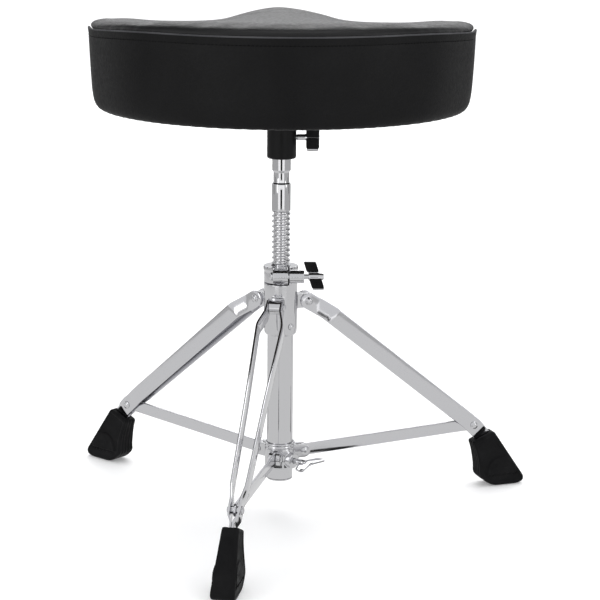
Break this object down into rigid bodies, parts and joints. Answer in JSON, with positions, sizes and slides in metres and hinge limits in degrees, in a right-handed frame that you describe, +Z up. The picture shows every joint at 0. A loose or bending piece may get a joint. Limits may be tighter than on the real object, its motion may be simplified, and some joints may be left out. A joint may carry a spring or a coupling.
{
  "type": "drum throne",
  "caption": "Drummer's stool with a padded saddle seat on a threaded, clamped post and a folding tripod of double steel legs with rubber feet.",
  "frame": {"origin": "middle of the bounding box at floor level, on the plane of the three foot soles", "axes": "+Z up along the post; +Y towards the nose of the saddle, so -Y is the broad rear of the seat; +X to the side the seat's wing bolt points to"},
  "size_m": [0.5718, 0.5494, 0.6036],
  "materials": {
    "chrome": "polished chrome plating",
    "zinc_steel": "zinc plated",
    "black_vinyl": "fine grained black vinyl, satin",
    "black_paint": "satin black powder coat",
    "black_rubber": "moulded rubber, matte",
    "foam": "open-cell foam",
    "plywood": "plywood stained black",
    "grey_plastic": "moulded"
  },
  "bodies": {
    "base": {"centre_tube": "chrome", "hub": "chrome", "thread_nut": "zinc_steel", "hub_rivet_1": "chrome", "hub_rivet_2": "chrome", "hub_rivet_3": "chrome", "tube_end_cap": "chrome", "clamp_bolt": "chrome"},
    "guide": {"spindle_guide_ring": "grey_plastic"},
    "spindle": {"spindle": "chrome"},
    "seat": {"seat_top_cover": "black_vinyl", "seat_side_cover": "black_vinyl", "seat_foam": "foam", "seat_board": "plywood", "seat_bracket": "black_paint", "seat_screw_1": "zinc_steel", "seat_screw_2": "zinc_steel", "seat_screw_3": "zinc_steel", "seat_screw_4": "zinc_steel"},
    "seat_wing": {"seat_wing_bolt": "chrome", "seat_wing_grip_upper": "black_rubber", "seat_wing_grip_lower": "black_rubber"},
    "clamp_wing": {"clamp_wing_nut": "chrome", "clamp_wing_grip_upper": "black_rubber", "clamp_wing_grip_lower": "black_rubber"},
    "collar": {"collar": "chrome", "collar_rivet_a": "chrome", "collar_rivet_b": "chrome", "collar_rivet_c": "chrome"},
    "collar_wing": {"collar_wing_bolt": "chrome"},
    "brace_a": {"brace_a": "chrome"},
    "leg_a": {"leg_a_strap_left": "chrome", "leg_a_strap_right": "chrome", "leg_a_hub_rivet_left": "chrome", "leg_a_hub_rivet_right": "chrome", "leg_a_brace_rivet": "chrome", "leg_a_foot": "black_rubber"},
    "brace_b": {"brace_b": "chrome"},
    "leg_b": {"leg_b_strap_left": "chrome", "leg_b_strap_right": "chrome", "leg_b_hub_rivet_left": "chrome", "leg_b_hub_rivet_right": "chrome", "leg_b_brace_rivet": "chrome", "leg_b_foot": "black_rubber"},
    "brace_c": {"brace_c": "chrome"},
    "leg_c": {"leg_c_strap_left": "chrome", "leg_c_strap_right": "chrome", "leg_c_hub_rivet_left": "chrome", "leg_c_hub_rivet_right": "chrome", "leg_c_brace_rivet": "chrome", "leg_c_foot": "black_rubber"}
  },
  "joints": [
    {"name": "height_slide", "type": "slide", "parent": "base", "child": "guide", "axis": [0, 0, 1], "range_m": [-0.0635, 0.07303]},
    {"name": "spindle_turn", "type": "hinge", "parent": "guide", "child": "spindle", "pos_m": [-0.02833, 0.05084, 0.14], "axis": [0, 0, 1], "range_deg": [-3601, 4141]},
    {"name": "seat_swivel", "type": "hinge", "parent": "spindle", "child": "seat", "pos_m": [-0.02833, 0.05084, 0.46], "axis": [0, 0, 1], "continuous": true},
    {"name": "seat_wing_turn", "type": "hinge", "parent": "seat", "child": "seat_wing", "pos_m": [-0.02833, 0.05084, 0.4596], "axis": [1, 0, 0], "range_deg": [0, 720]},
    {"name": "clamp_wing_turn", "type": "hinge", "parent": "base", "child": "clamp_wing", "pos_m": [-0.02833, 0.02934, 0.295], "axis": [1, 0, 0], "range_deg": [0, 720]},
    {"name": "collar_slide", "type": "slide", "parent": "base", "child": "collar", "axis": [0, 0, 1], "range_m": [0, 0.1305]},
    {"name": "collar_wing_turn", "type": "hinge", "parent": "collar", "child": "collar_wing", "pos_m": [-0.02833, 0.05084, 0.063], "axis": [0.7586, -0.6516, 0], "range_deg": [0, 720]},
    {"name": "brace_a_swing", "type": "hinge", "parent": "collar", "child": "brace_a", "pos_m": [-0.00003, 0.06077, 0.07], "axis": [-0.3312, 0.9436, 0], "range_deg": [0, 83.9]},
    {"name": "leg_a_swing", "type": "hinge", "parent": "brace_a", "child": "leg_a", "pos_m": [0.21633, 0.13671, 0.0817], "axis": [0.3312, -0.9436, 0], "range_deg": [0, 38.7]},
    {"name": "brace_b_swing", "type": "hinge", "parent": "collar", "child": "brace_b", "pos_m": [-0.05109, 0.07039, 0.07], "axis": [-0.6516, -0.7586, 0], "range_deg": [0, 83.9]},
    {"name": "leg_b_swing", "type": "hinge", "parent": "brace_b", "child": "leg_b", "pos_m": [-0.22504, 0.21979, 0.0817], "axis": [0.6516, 0.7586, 0], "range_deg": [0, 38.7]},
    {"name": "brace_c_swing", "type": "hinge", "parent": "collar", "child": "brace_c", "pos_m": [-0.03388, 0.02136, 0.07], "axis": [0.9827, -0.185, 0], "range_deg": [0, 83.9]},
    {"name": "leg_c_swing", "type": "hinge", "parent": "brace_c", "child": "leg_c", "pos_m": [-0.0763, -0.20399, 0.0817], "axis": [-0.9827, 0.185, 0], "range_deg": [0, 38.7]}
  ],
  "couplings": [
    {"joint": "spindle_turn", "follows": "height_slide", "rad_per_m": 989.48},
    {"joint": "brace_a_swing", "follows": "collar_slide", "rad_per_m": 11.216},
    {"joint": "leg_a_swing", "follows": "collar_slide", "rad_per_m": 5.1705},
    {"joint": "brace_b_swing", "follows": "collar_slide", "rad_per_m": 11.216},
    {"joint": "leg_b_swing", "follows": "collar_slide", "rad_per_m": 5.1705},
    {"joint": "brace_c_swing", "follows": "collar_slide", "rad_per_m": 11.216},
    {"joint": "leg_c_swing", "follows": "collar_slide", "rad_per_m": 5.1705}
  ]
}
